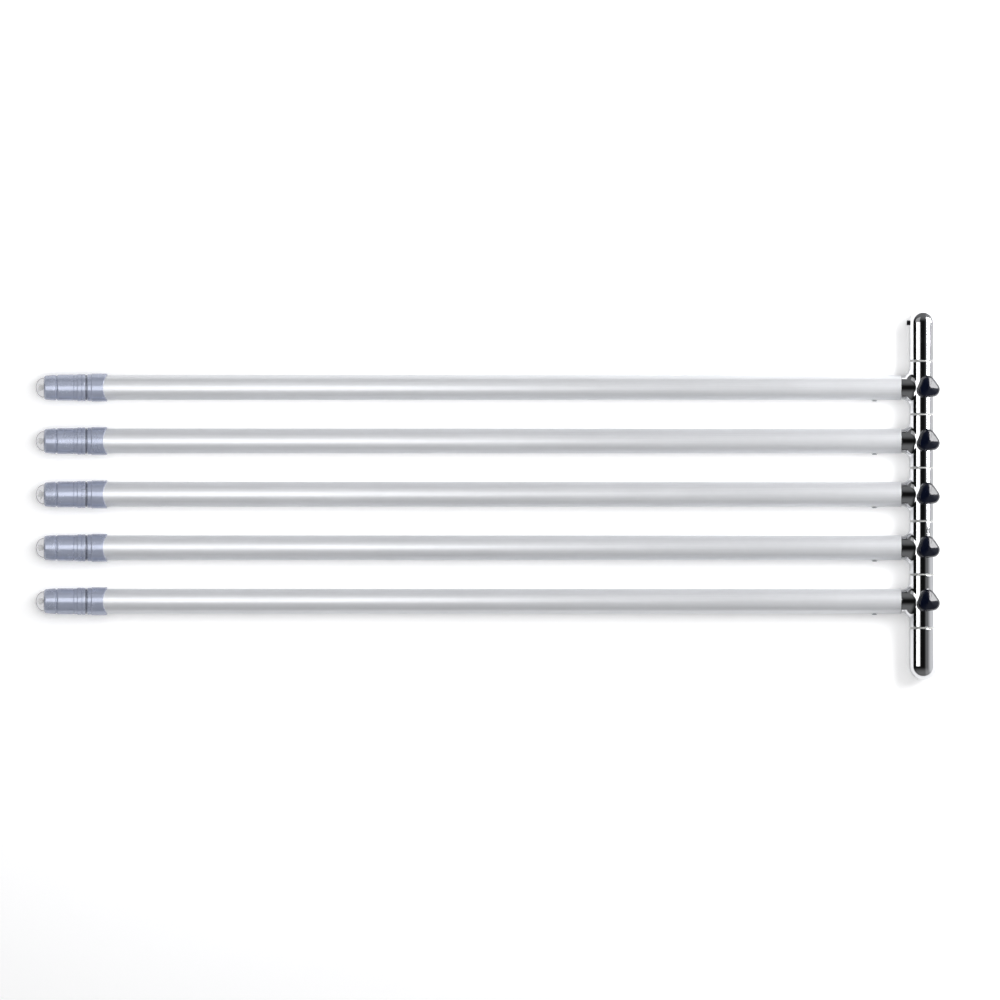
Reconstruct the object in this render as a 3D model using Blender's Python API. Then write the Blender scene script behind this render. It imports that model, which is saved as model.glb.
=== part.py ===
"""A rake-shaped swing-arm frame, built in metres with +Z up.

Five tubular arms lie side by side and run towards -X. Each ends in a chromed tee whose sleeve turns on
one crossbar rod that runs along Y, and a three-lobed knob clamps it there. The other end of each arm has
a plastic collar, a ringed barrel and a polished hanging eye. The frame lies flat on its sleeves and
collars, with the knobs up.

Pieces of an arm are modelled with local Z as the distance from the crossbar's axis.
"""

from math import cos, pi, radians, sin, sqrt

import bmesh
import bpy
from mathutils import Quaternion, Vector

# Driving dimensions
ARM_COUNT = 5
ARM_PITCH = 0.0534          # from one arm's centre line to the next
ARM_REACH = 0.8875          # from the crossbar's axis to the end of the hanging eye
TUBE_OD = 0.025
TUBE_WALL = 0.0015
PROUD = 0.0015              # how far the sleeves and the collars stand out from the tube
SLEEVE_WALL = 0.0037        # from the sleeve's outside to its bore
ROD_WALL = 0.002
FIT = 0.0003                # gap between pieces that touch
SEGMENTS = 24               # sides of a round piece
FINE_SEGMENTS = 16          # sides of a washer, an eye or a barrel
SMALL_SEGMENTS = 12         # sides of a screw, a stud or a rivet

# Tee: sleeve, swept neck and the spigot that fills the tube's end
NECK_STEP = 0.0005          # the tube's radius less the neck's
NECK_FILLET = 0.008
FILLET_STEPS = 4
SPIGOT_LENGTH = 0.038
SPIGOT_WALL = 0.0027
SPIGOT_WEB = 0.004          # metal between the shoulder and the end of the spigot's bore
SLEEVE_CHAMFER = 0.0006

# Crossbar's ends and the washers between its sleeves
END_LENGTH = 0.0514
END_DOME_WALL = 0.0025
WASHER_THICKNESS = 0.0008
WASHER_STEP = 0.0008        # how far a washer's rim stays below the sleeves
END_SCREW_D = 0.005
END_SCREW_PROUD = 0.0026    # of the first end's screw; the second end's is flush
END_SCREW_SOCKET = 0.0026   # across the flats
END_SCREW_SOCKET_DEPTH = 0.0014

# Rivet that holds a tube on its spigot
RIVET_SETBACK = 0.0265      # from the tube's end
RIVET_D = 0.0032
RIVET_HEAD_D = 0.0064
RIVET_HEAD_HEIGHT = 0.0012
RIVET_END_WALL = 0.0005     # of the spigot's wall, left under the rivet's end

# Clamp: knob, threaded stud and pressure pad, on an axis that leans towards +X
CLAMP_LEAN = radians(12.0)
KNOB_RADIUS = 0.0123        # from the axis to a lobe's tip
KNOB_LOBE = 0.0073          # a lobe's rounding
KNOB_TURN = radians(97.0)   # where the first lobe points, from the leaning X axis
KNOB_HEIGHT = 0.014
KNOB_HUB_RADIUS = 0.0062
KNOB_HUB_HEIGHT = 0.0016
KNOB_LIFT = 0.0008          # from the sleeve to the hub, when clamped
LOBE_STEPS = 3
STUD_D = 0.006
STUD_GRIP = 0.008           # how far the stud reaches into the knob
PAD_THICKNESS = 0.0014
# Shares of the knob's height, above its hub, and of its width
KNOB_SHAPE = (
    (0.00, 0.88), (0.08, 0.97), (0.24, 1.00), (0.50, 1.00), (0.68, 0.96), (0.79, 0.86), (1.00, 0.12),
)

# Hanging eye: a half ellipsoid with two flats and a cross hole
EYE_LENGTH = 0.0085
EYE_D = 0.020
EYE_THICKNESS = 0.008
EYE_HOLE_D = 0.0064
EYE_HOLE_SETBACK = 0.005    # from the eye's end to the hole's centre
EYE_SHANK_D = 0.009
EYE_SHANK_LENGTH = 0.014
EYE_STEPS = 4

# Ringed barrel
BARREL_LENGTH = 0.0411
BARREL_END_STEP = 0.00325   # these five are how far its surface lies inside the collar's
BARREL_WAIST_STEP = 0.00125
BARREL_BODY_STEP = 0.001
BARREL_BAND_STEP = 0.00045
BARREL_NECK_STEP = 0.0013    # in the gap beside the collar
BARREL_END_CHAMFER = 0.0006
BARREL_WAIST_AT = 0.009     # these four are measured from the barrel's eye end
BARREL_GROOVE_AT = 0.0112
BARREL_RING_AT = 0.0290
BARREL_BAND_AT = 0.0330
BARREL_GROOVE_WIDTH = 0.0020
BARREL_GROOVE_DEPTH = 0.0008
RING_WIDTH = 0.0010
RING_DEPTH = 0.0004
PLUG_LENGTH = 0.026         # from the barrel's shoulder into the tube
PLUG_WALL = 0.0027
BARREL_WEB = 0.0035         # between the shank's hole and the plug's bore

# Collar over the tube's end
COLLAR_GAP = 0.0020         # from the barrel to the collar
COLLAR_LENGTH = 0.0179      # up to the middle of its waved mouth
COLLAR_LIP = 0.002          # in front of the tube's end
COLLAR_STEP_AT = 0.004
COLLAR_STEP = 0.0006
COLLAR_WAVE = 0.0021        # the mouth's sides reach this much further, and its top this much less

# Sizes worked out from those above
TUBE_R = TUBE_OD / 2
TUBE_BORE_R = TUBE_R - TUBE_WALL
OUTER_R = TUBE_R + PROUD
SLEEVE_BORE_R = OUTER_R - SLEEVE_WALL
ROD_R = SLEEVE_BORE_R - FIT
NECK_R = TUBE_R - NECK_STEP
SPIGOT_R = TUBE_BORE_R - FIT
NECK_END = OUTER_R + NECK_FILLET
TUBE_NEAR_END = NECK_END + FIT
SLEEVE_LENGTH = ARM_PITCH - WASHER_THICKNESS - 2 * FIT
CROSSBAR_HALF = ARM_COUNT * ARM_PITCH / 2 + WASHER_THICKNESS / 2 + FIT + END_LENGTH
DOME_CENTRE = CROSSBAR_HALF - OUTER_R
END_BORE_END = DOME_CENTRE + sqrt(max((OUTER_R - END_DOME_WALL) ** 2 - SLEEVE_BORE_R ** 2, 0.0))
BARREL_START = ARM_REACH - EYE_LENGTH
BARREL_SHOULDER = BARREL_START - BARREL_LENGTH
COLLAR_BACK = BARREL_SHOULDER - COLLAR_GAP
TUBE_FAR_END = COLLAR_BACK - COLLAR_LIP - FIT
RIVET_AT = TUBE_NEAR_END + RIVET_SETBACK
KNOB_BASE = OUTER_R + KNOB_LIFT
STUD_START = ROD_R + FIT + PAD_THICKNESS + FIT
STUD_END = KNOB_BASE + STUD_GRIP

OUTWARD = Quaternion((0, 1, 0), -pi / 2)     # local Z runs along -X, local X points up
ALONG_BAR = Quaternion((1, 0, 0), -pi / 2)   # local Z runs along +Y
SIDEWAYS = Quaternion((1, 0, 0), pi / 2)     # local Z runs along -Y


def clear_scene():
    for old in list(bpy.data.objects):
        bpy.data.objects.remove(old)


def finish(name, colour, metallic, roughness):
    """A plain Principled material."""
    material = bpy.data.materials.new(name)
    material.use_nodes = True
    shader = material.node_tree.nodes["Principled BSDF"]
    shader.inputs["Base Color"].default_value = (*colour, 1.0)
    shader.inputs["Metallic"].default_value = metallic
    shader.inputs["Roughness"].default_value = roughness
    return material


def empty(name, parent=None, location=(0, 0, 0), turn=Quaternion()):
    frame = bpy.data.objects.new(name, None)
    frame.parent = parent
    frame.location = location
    frame.rotation_mode = "QUATERNION"
    frame.rotation_quaternion = turn
    bpy.context.collection.objects.link(frame)
    return frame


def piece(name, mesh, parent, location=(0, 0, 0), turn=Quaternion(), look=None):
    """One named solid; pieces that are alike share a mesh."""
    if look and not mesh.materials:
        mesh.materials.append(look)
    made = bpy.data.objects.new(name, mesh)
    made.parent = parent
    made.location = location
    made.rotation_mode = "QUATERNION"
    made.rotation_quaternion = turn
    bpy.context.collection.objects.link(made)
    return made


def cutter(name, mesh, parent, location=(0, 0, 0), turn=Quaternion()):
    tool = piece(name, mesh, parent, location, turn)
    tool.hide_render = True
    tool.display_type = "WIRE"
    return tool


def closed_mesh(name, form):
    """The mesh of a bmesh, with its normals out and its curved sides smooth."""
    bmesh.ops.remove_doubles(form, verts=form.verts, dist=1e-7)
    bmesh.ops.recalc_face_normals(form, faces=form.faces)
    mesh = bpy.data.meshes.new(name)
    form.to_mesh(mesh)
    form.free()
    mesh.shade_smooth()
    mesh.set_sharp_from_angle(angle=radians(35))
    return mesh


def turned(name, profile, segments=SEGMENTS, ring=False):
    """A solid turned about Z from (height, radius) points; a ring's profile closes on itself."""
    form = bmesh.new()
    points = [form.verts.new((radius, 0, height)) for height, radius in profile]
    pairs = list(zip(points, points[1:]))
    if ring:
        pairs.append((points[-1], points[0]))
    edges = [form.edges.new(pair) for pair in pairs]
    bmesh.ops.spin(form, geom=points + edges, axis=(0, 0, 1), angle=2 * pi, steps=segments, use_merge=True)
    return closed_mesh(name, form)


def cylinder(name, radius, start, end, segments=SEGMENTS):
    return turned(name, [(start, 0), (start, radius), (end, radius), (end, 0)], segments)


def lofted(name, rings):
    """A solid through closed rings that all have the same number of points, capped at both ends."""
    form = bmesh.new()
    loops = [[form.verts.new(point) for point in ring] for ring in rings]
    for low, high in zip(loops, loops[1:]):
        for here in range(len(low)):
            after = (here + 1) % len(low)
            form.faces.new((low[here], low[after], high[after], high[here]))
    form.faces.new(reversed(loops[0]))
    form.faces.new(loops[-1])
    return closed_mesh(name, form)


def circle(radius, height, count, start=0.0):
    angles = [start + 2 * pi * step / count for step in range(count)]
    return [Vector((radius * cos(angle), radius * sin(angle), height)) for angle in angles]


def bake(made, tools):
    """Cut or join the tools into a piece's mesh, in order, and remove them."""
    for operation, tool in tools:
        boolean = made.modifiers.new(tool.name, "BOOLEAN")
        boolean.operation = operation
        boolean.object = tool
    bpy.context.view_layer.update()
    seen = made.evaluated_get(bpy.context.evaluated_depsgraph_get())
    mesh = bpy.data.meshes.new_from_object(seen)
    mesh.shade_smooth()
    mesh.set_sharp_from_angle(angle=radians(35))
    made.modifiers.clear()
    made.data = mesh
    for _, tool in tools:
        bpy.data.objects.remove(tool)
    return mesh


# --- Crossbar -----------------------------------------------------------------------------------------

def crossbar_rod(frame, look):
    half = END_BORE_END - FIT
    bore = ROD_R - ROD_WALL
    profile = [(-half, bore), (-half, ROD_R), (half, ROD_R), (half, bore)]
    piece("crossbar_rod", turned("crossbar_rod", profile, ring=True), frame, turn=ALONG_BAR, look=look)


def crossbar_ends(frame, sleeve_look, screw_look):
    """Domed end sleeves with a blind bore, each held on the rod by a set screw on its -X side."""
    mouth = CROSSBAR_HALF - END_LENGTH
    arc = [(pi / 2) * step / 6 for step in range(7)]
    dome = [(DOME_CENTRE + OUTER_R * sin(angle), OUTER_R * cos(angle)) for angle in arc]
    dome[-1] = (CROSSBAR_HALF, 0)
    inside = [(END_BORE_END, 0), (END_BORE_END, SLEEVE_BORE_R), (mouth, SLEEVE_BORE_R)]
    edge = [(mouth, OUTER_R - SLEEVE_CHAMFER), (mouth + SLEEVE_CHAMFER, OUTER_R)]
    profile = inside + edge + dome
    flips = (("top", Quaternion(), END_SCREW_PROUD), ("bottom", Quaternion((1, 0, 0), pi), -FIT))
    for label, flip, proud in flips:
        side = empty(f"end_{label}_frame", frame, turn=flip)
        name = f"end_sleeve_{label}"
        sleeve = piece(name, turned(name, profile), side, turn=ALONG_BAR, look=sleeve_look)
        across = (0, DOME_CENTRE, 0)
        drill = cylinder("end_screw_drill", END_SCREW_D / 2 + FIT, 0, 2 * OUTER_R, SMALL_SEGMENTS)
        bake(sleeve, [("DIFFERENCE", cutter("end_screw_drill", drill, side, across, OUTWARD))])
        set_screw(f"end_screw_{label}", side, across, proud, screw_look)


def set_screw(name, side, across, proud, look):
    start = ROD_R + FIT
    end = OUTER_R + proud
    floor = end - END_SCREW_SOCKET_DEPTH
    socket_r = END_SCREW_SOCKET / sqrt(3)
    body = cylinder(name, END_SCREW_D / 2, start, end, SMALL_SEGMENTS)
    screw = piece(name, body, side, across, OUTWARD, look)
    socket = cylinder("socket", socket_r, floor, end + END_SCREW_SOCKET_DEPTH, 6)
    bake(screw, [("DIFFERENCE", cutter("socket", socket, side, across, OUTWARD))])


def crossbar_washers(frame, look):
    half = WASHER_THICKNESS / 2
    rim = OUTER_R - WASHER_STEP
    profile = [(-half, SLEEVE_BORE_R), (-half, rim), (half, rim), (half, SLEEVE_BORE_R)]
    mesh = turned("washer", profile, FINE_SEGMENTS, ring=True)
    for index in range(ARM_COUNT + 1):
        seam = (0, (ARM_COUNT / 2 - index) * ARM_PITCH, 0)
        piece(f"washer_{index + 1}", mesh, frame, seam, ALONG_BAR, look)


# --- Arms ---------------------------------------------------------------------------------------------

def neck_rings():
    """Rings from the spigot's bore, over the shoulder and down a rolling-ball fillet into the sleeve."""
    spigot_end = NECK_END + SPIGOT_LENGTH
    bore = SPIGOT_R - SPIGOT_WALL
    turns = [2 * pi * step / SEGMENTS for step in range(SEGMENTS)]
    steps = ((bore, NECK_END + SPIGOT_WEB), (bore, spigot_end), (SPIGOT_R, spigot_end),
             (SPIGOT_R, NECK_END), (NECK_R, NECK_END))
    rings = [[Vector((radius * sin(turn), radius * cos(turn), height)) for turn in turns]
             for radius, height in steps]
    ball = NECK_R + NECK_FILLET
    reach = OUTER_R + NECK_FILLET
    for step in range(FILLET_STEPS + 1):
        ring = []
        for turn in turns:
            x, y = ball * sin(turn), ball * cos(turn)
            centre = Vector((x, y, sqrt(reach ** 2 - x ** 2)))
            on_neck = Vector((NECK_R * sin(turn), NECK_R * cos(turn), centre.z)) - centre
            on_sleeve = Vector((x * OUTER_R / reach, y, centre.z * OUTER_R / reach)) - centre
            ring.append(centre + NECK_FILLET * on_neck.slerp(on_sleeve, step / FILLET_STEPS))
        rings.append(ring)
    foot = rings[-1]
    rings.append([Vector((point.x * 0.6, point.y * 0.7, SLEEVE_BORE_R / 3)) for point in foot])
    return rings


def tee_mesh(pivot, outward, clamp, look):
    """The sleeve, its neck and spigot in one casting, bored for the rod, the stud and the rivet."""
    half = SLEEVE_LENGTH / 2
    edge = half - SLEEVE_CHAMFER
    rim = OUTER_R - SLEEVE_CHAMFER
    profile = [(-half, 0), (-half, rim), (-edge, OUTER_R), (edge, OUTER_R), (half, rim), (half, 0)]
    tee = piece("tee_blank", turned("tee", profile), pivot, turn=ALONG_BAR, look=look)
    neck = cutter("neck", lofted("neck", neck_rings()), outward)
    bore = cylinder("rod_bore", SLEEVE_BORE_R, -SLEEVE_LENGTH, SLEEVE_LENGTH)
    stud_hole = cylinder("stud_hole", STUD_D / 2 + FIT, 0, 2 * OUTER_R, SMALL_SEGMENTS)
    rivet_hole = cylinder("rivet_hole", RIVET_D / 2 + FIT, 0, TUBE_OD, SMALL_SEGMENTS)
    tools = [
        ("UNION", neck),
        ("DIFFERENCE", cutter("rod_bore", bore, pivot, turn=ALONG_BAR)),
        ("DIFFERENCE", cutter("stud_hole", stud_hole, clamp)),
        ("DIFFERENCE", cutter("rivet_hole", rivet_hole, pivot, (-RIVET_AT, 0, 0), SIDEWAYS)),
    ]
    mesh = bake(tee, tools)
    bpy.data.objects.remove(tee)
    return mesh


def tube_mesh(pivot, outward, look):
    near, far = TUBE_NEAR_END, TUBE_FAR_END
    profile = [(near, TUBE_BORE_R), (far, TUBE_BORE_R), (far, TUBE_R), (near, TUBE_R)]
    tube = piece("tube_blank", turned("tube", profile, ring=True), outward, look=look)
    hole = cylinder("tube_hole", RIVET_D / 2 + FIT, 0, TUBE_OD, SMALL_SEGMENTS)
    mesh = bake(tube, [("DIFFERENCE", cutter("tube_hole", hole, pivot, (-RIVET_AT, 0, 0), SIDEWAYS))])
    bpy.data.objects.remove(tube)
    return mesh


def rivet_mesh():
    """Shank from inside the spigot's wall, and a low domed head clear of the tube."""
    start = SPIGOT_R - SPIGOT_WALL + RIVET_END_WALL
    seat = TUBE_R + FIT
    head_r = RIVET_HEAD_D / 2
    arc = [(pi / 2) * step / 3 for step in range(3)]
    head = [(seat + RIVET_HEAD_HEIGHT * sin(angle), head_r * cos(angle)) for angle in arc]
    shank = [(start, 0), (start, RIVET_D / 2), (seat, RIVET_D / 2)]
    return turned("rivet", shank + head + [(seat + RIVET_HEAD_HEIGHT, 0)], SMALL_SEGMENTS)


def knob_outline(scale):
    """A rounded triangle: an arc at each of three lobes, with straight sides between them."""
    points = []
    for lobe in range(3):
        aim = KNOB_TURN + 2 * pi * lobe / 3
        centre = (KNOB_RADIUS - KNOB_LOBE) * scale
        for step in range(LOBE_STEPS + 1):
            angle = aim + radians(120) * (step / LOBE_STEPS - 0.5)
            x = centre * cos(aim) + KNOB_LOBE * scale * cos(angle)
            y = centre * sin(aim) + KNOB_LOBE * scale * sin(angle)
            points.append((x, y))
    return points


def knob_mesh():
    """A hub, a rounded three-lobed body that slopes up to a small flat, and a blind hole for the stud."""
    count = 3 * (LOBE_STEPS + 1)
    start = KNOB_TURN - radians(60)
    rings = [
        circle(STUD_D / 2 + FIT, STUD_END + FIT, count, start),
        circle(STUD_D / 2 + FIT, KNOB_BASE, count, start),
        circle(KNOB_HUB_RADIUS, KNOB_BASE, count, start),
        circle(KNOB_HUB_RADIUS, KNOB_BASE + KNOB_HUB_HEIGHT, count, start),
    ]
    body = KNOB_HEIGHT - KNOB_HUB_HEIGHT
    for share, width in KNOB_SHAPE:
        height = KNOB_BASE + KNOB_HUB_HEIGHT + share * body
        rings.append([Vector((x, y, height)) for x, y in knob_outline(width)])
    return lofted("knob", rings)


def barrel_mesh():
    """A ringed grip with a plug for the tube, a hole for the eye's shank and a bore through the plug."""
    start = BARREL_START
    shank_r = EYE_SHANK_D / 2 + FIT
    shank_end = start - EYE_SHANK_LENGTH - FIT
    plug_end = BARREL_SHOULDER - PLUG_LENGTH
    bore = SPIGOT_R - PLUG_WALL
    waist, body, band = OUTER_R - BARREL_WAIST_STEP, OUTER_R - BARREL_BODY_STEP, OUTER_R - BARREL_BAND_STEP

    def cut(at, radius, offsets):
        """A groove whose near edge is at a distance from the eye end."""
        return [(start - at - along, radius - inset) for along, inset in offsets]

    slope = BARREL_GROOVE_WIDTH / 4
    flat = ((slope, BARREL_GROOVE_DEPTH), (BARREL_GROOVE_WIDTH - slope, BARREL_GROOVE_DEPTH))
    groove = cut(BARREL_GROOVE_AT, waist, ((0, 0), *flat, (BARREL_GROOVE_WIDTH, 0)))
    vee = ((0, 0), (RING_WIDTH / 2, RING_DEPTH), (RING_WIDTH, 0))
    ring = cut(BARREL_RING_AT, body, vee)
    band_ring = cut((BARREL_BAND_AT + BARREL_LENGTH) / 2, band, vee)
    end_r = OUTER_R - BARREL_END_STEP
    profile = [(shank_end, 0), (shank_end, shank_r), (start, shank_r), (start, end_r),
               (start - BARREL_END_CHAMFER, end_r + BARREL_END_CHAMFER), (start - BARREL_WAIST_AT, waist)]
    profile += groove + ring
    profile += [(start - BARREL_BAND_AT, body), (start - BARREL_BAND_AT - RING_DEPTH, band)]
    profile += band_ring
    neck, neck_end = OUTER_R - BARREL_NECK_STEP, COLLAR_BACK + FIT
    profile += [(BARREL_SHOULDER, band), (BARREL_SHOULDER, neck), (neck_end, neck), (neck_end, SPIGOT_R),
                (plug_end, SPIGOT_R), (plug_end, bore), (shank_end - BARREL_WEB, bore),
                (shank_end - BARREL_WEB, 0)]
    return turned("barrel", profile, FINE_SEGMENTS)


def collar_mesh():
    """A stepped ring over the tube's end; its mouth waves, so its sides reach further along the tube."""
    back, mouth = COLLAR_BACK, COLLAR_BACK - COLLAR_LENGTH
    step_at = back - COLLAR_STEP_AT
    inner = TUBE_R + FIT
    profile = [(back, SPIGOT_R + FIT), (back, OUTER_R - COLLAR_STEP), (step_at, OUTER_R - COLLAR_STEP),
               (step_at - COLLAR_STEP, OUTER_R), (mouth, OUTER_R), (mouth, inner),
               (back - COLLAR_LIP, inner), (back - COLLAR_LIP, SPIGOT_R + FIT)]
    mesh = turned("collar", profile, ring=True)
    for vertex in mesh.vertices:
        up, side, distance = vertex.co
        if abs(distance - mouth) < COLLAR_WAVE:
            vertex.co.z -= COLLAR_WAVE * (side ** 2 - up ** 2) / (side ** 2 + up ** 2)
    return mesh


def eye_mesh(outward, look):
    """A half ellipsoid with two flats and a cross hole, on a shank that sits in the barrel."""
    base = BARREL_START + FIT
    length = ARM_REACH - base
    arc = [(pi / 2) * step / EYE_STEPS for step in range(EYE_STEPS)]
    dome = [(base + length * sin(angle), EYE_D / 2 * cos(angle)) for angle in arc]
    shank_start = BARREL_START - EYE_SHANK_LENGTH
    shank = [(shank_start, 0), (shank_start, EYE_SHANK_D / 2), (base, EYE_SHANK_D / 2)]
    profile = shank + dome + [(ARM_REACH, 0)]
    eye = piece("eye_blank", turned("eye", profile, FINE_SEGMENTS), outward, look=look)
    across = Quaternion((0, 1, 0), pi / 2)
    centre = ARM_REACH - EYE_HOLE_SETBACK
    side = EYE_D
    depth = (side - EYE_THICKNESS) / 2
    tools = []
    for label, offset in (("over", 1), ("under", -1)):
        form = bmesh.new()
        bmesh.ops.create_cube(form, size=1)
        bmesh.ops.scale(form, vec=(depth, 2 * side, 2 * length), verts=form.verts)
        slab = closed_mesh(f"flat_{label}", form)
        where = (offset * (EYE_THICKNESS + depth) / 2, 0, base + length)
        tools.append(("DIFFERENCE", cutter(f"flat_{label}", slab, outward, where)))
    hole = cylinder("eye_hole", EYE_HOLE_D / 2, -EYE_D, EYE_D, FINE_SEGMENTS)
    tools.append(("DIFFERENCE", cutter("eye_hole", hole, outward, (0, 0, centre), across)))
    mesh = bake(eye, tools)
    bpy.data.objects.remove(eye)
    return mesh


def arm_frames(frame, number):
    """An arm's pivot on the crossbar's axis, the direction it runs in and its clamp's axis."""
    height = ((ARM_COUNT + 1) / 2 - number) * ARM_PITCH
    pivot = empty(f"arm_{number}_pivot", frame, (0, height, 0))
    outward = empty(f"arm_{number}_outward", pivot, turn=OUTWARD)
    clamp = empty(f"arm_{number}_clamp", pivot, turn=Quaternion((0, 1, 0), CLAMP_LEAN))
    return pivot, outward, clamp


def arms(frame, looks):
    frames = [arm_frames(frame, number) for number in range(1, ARM_COUNT + 1)]
    bpy.context.view_layer.update()
    pivot, outward, clamp = frames[0]
    tee = tee_mesh(pivot, outward, clamp, looks["chrome"])
    tube = tube_mesh(pivot, outward, looks["aluminium"])
    eye = eye_mesh(outward, looks["polished"])
    rivet, knob, barrel, collar = rivet_mesh(), knob_mesh(), barrel_mesh(), collar_mesh()
    stud = cylinder("stud", STUD_D / 2, STUD_START, STUD_END, SMALL_SEGMENTS)
    pad = cylinder("pad", STUD_D / 2, ROD_R + FIT, ROD_R + FIT + PAD_THICKNESS, SMALL_SEGMENTS)
    for number, (pivot, outward, clamp) in enumerate(frames, 1):
        piece(f"tee_{number}", tee, pivot, turn=ALONG_BAR)
        piece(f"arm_tube_{number}", tube, outward)
        piece(f"tube_rivet_{number}", rivet, pivot, (-RIVET_AT, 0, 0), SIDEWAYS, looks["rivet"])
        piece(f"clamp_knob_{number}", knob, clamp, look=looks["knob"])
        piece(f"clamp_stud_{number}", stud, clamp, look=looks["stud"])
        piece(f"clamp_pad_{number}", pad, clamp, look=looks["pad"])
        piece(f"grip_collar_{number}", collar, outward, look=looks["collar"])
        piece(f"grip_barrel_{number}", barrel, outward, look=looks["barrel"])
        piece(f"hanging_eye_{number}", eye, outward)


def settle(frame):
    """Stand the frame on z = 0 with the middle of its box over the origin."""
    bpy.context.view_layer.update()
    solids = [made for made in bpy.data.objects if made.type == "MESH"]
    points = [made.matrix_world @ vertex.co for made in solids for vertex in made.data.vertices]
    for axis in (0, 1):
        values = [point[axis] for point in points]
        frame.location[axis] -= (min(values) + max(values)) / 2
    frame.location.z -= min(point.z for point in points)
    bpy.context.view_layer.update()


def main():
    clear_scene()
    looks = {
        "rod": finish("rod_steel", (0.42, 0.43, 0.45), 1.0, 0.35),
        "chrome": finish("chrome", (0.72, 0.73, 0.75), 1.0, 0.06),
        "washer": finish("washer_nylon", (0.62, 0.61, 0.57), 0.0, 0.5),
        "screw": finish("black_screw", (0.02, 0.02, 0.025), 0.6, 0.35),
        "aluminium": finish("satin_aluminium", (0.66, 0.67, 0.70), 1.0, 0.38),
        "rivet": finish("rivet_aluminium", (0.55, 0.56, 0.58), 1.0, 0.4),
        "knob": finish("knob_plastic", (0.010, 0.013, 0.028), 0.0, 0.12),
        "stud": finish("stud_steel", (0.50, 0.50, 0.52), 1.0, 0.25),
        "pad": finish("pad_nylon", (0.75, 0.74, 0.68), 0.0, 0.5),
        "collar": finish("collar_plastic", (0.33, 0.35, 0.40), 0.0, 0.32),
        "barrel": finish("barrel_plastic", (0.30, 0.32, 0.37), 0.0, 0.30),
        "polished": finish("polished_steel", (0.80, 0.81, 0.82), 1.0, 0.10),
    }
    frame = empty("swing_arm_frame")
    crossbar_rod(frame, looks["rod"])
    crossbar_ends(frame, looks["chrome"], looks["screw"])
    crossbar_washers(frame, looks["washer"])
    arms(frame, looks)
    settle(frame)


main()
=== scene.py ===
"""Looks of a rake-shaped swing-arm frame, built around its packed CAD model in metres, with +Z up.

Pieces of an arm are modelled in its own axes: X is up, Y runs along the crossbar and Z is the distance from
the crossbar's axis. Pieces of the crossbar are modelled with Z along the bar, and the clamp's with Z along
its stud.
"""

from math import asin, ceil, cos, pi, radians, sin, sqrt, tan

import bmesh
import bpy
from bpy.props import FloatProperty, FloatVectorProperty, PointerProperty
from mathutils import Matrix, Vector


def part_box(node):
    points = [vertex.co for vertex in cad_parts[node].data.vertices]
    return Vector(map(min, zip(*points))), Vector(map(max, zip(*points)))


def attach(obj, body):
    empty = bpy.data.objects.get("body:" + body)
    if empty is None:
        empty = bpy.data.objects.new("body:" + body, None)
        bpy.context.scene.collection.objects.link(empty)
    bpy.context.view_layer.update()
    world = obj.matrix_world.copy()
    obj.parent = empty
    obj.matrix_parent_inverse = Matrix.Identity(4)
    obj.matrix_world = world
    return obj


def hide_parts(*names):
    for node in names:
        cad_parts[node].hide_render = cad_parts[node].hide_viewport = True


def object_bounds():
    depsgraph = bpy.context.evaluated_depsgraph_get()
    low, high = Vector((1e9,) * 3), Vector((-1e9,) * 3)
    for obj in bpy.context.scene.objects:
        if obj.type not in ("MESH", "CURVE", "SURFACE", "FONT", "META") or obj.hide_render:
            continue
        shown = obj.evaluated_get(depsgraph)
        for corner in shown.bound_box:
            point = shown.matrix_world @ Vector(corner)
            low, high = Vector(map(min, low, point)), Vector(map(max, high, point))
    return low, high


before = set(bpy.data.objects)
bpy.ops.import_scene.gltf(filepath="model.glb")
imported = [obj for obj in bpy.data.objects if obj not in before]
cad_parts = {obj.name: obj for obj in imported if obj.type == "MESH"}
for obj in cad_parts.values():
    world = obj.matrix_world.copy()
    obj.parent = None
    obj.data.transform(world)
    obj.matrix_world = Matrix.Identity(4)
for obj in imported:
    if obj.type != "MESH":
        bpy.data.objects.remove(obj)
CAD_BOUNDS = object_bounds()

bl_info = {
    "name": "Swing-arm rake frame",
    "version": (1, 0, 0),
    "blender": (4, 5, 0),
    "location": "3D View > Sidebar > Rake frame",
    "description": "Detailed pieces and finishes for a rake-shaped frame of clamped swing arms",
    "category": "Object",
}

ARM_COUNT = sum(name.startswith("arm_tube_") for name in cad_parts)
ARMS = range(1, ARM_COUNT + 1)


def middle(node):
    low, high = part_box(node)
    return (low + high) / 2


def half_span(node, axis):
    low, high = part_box(node)
    return (high[axis] - low[axis]) / 2


AXIS = middle("crossbar_rod")


def reach(node, far):
    """How far a node's far or near end is from the crossbar's axis, along its arm."""
    low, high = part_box(node)
    return AXIS.x - (low.x if far else high.x)


def length(name, default, description):
    return FloatProperty(name=name, description=description, default=default, min=0.0, precision=5,
                         unit="LENGTH", subtype="DISTANCE")


def colour(name, default, description):
    return FloatVectorProperty(name=name, description=description, default=default, min=0.0, max=1.0,
                               size=3, subtype="COLOR")


def amount(name, default, description, top=100.0):
    return FloatProperty(name=name, description=description, default=default, min=0.0, max=top)


# --- Sizes and colours --------------------------------------------------------------------------------

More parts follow.
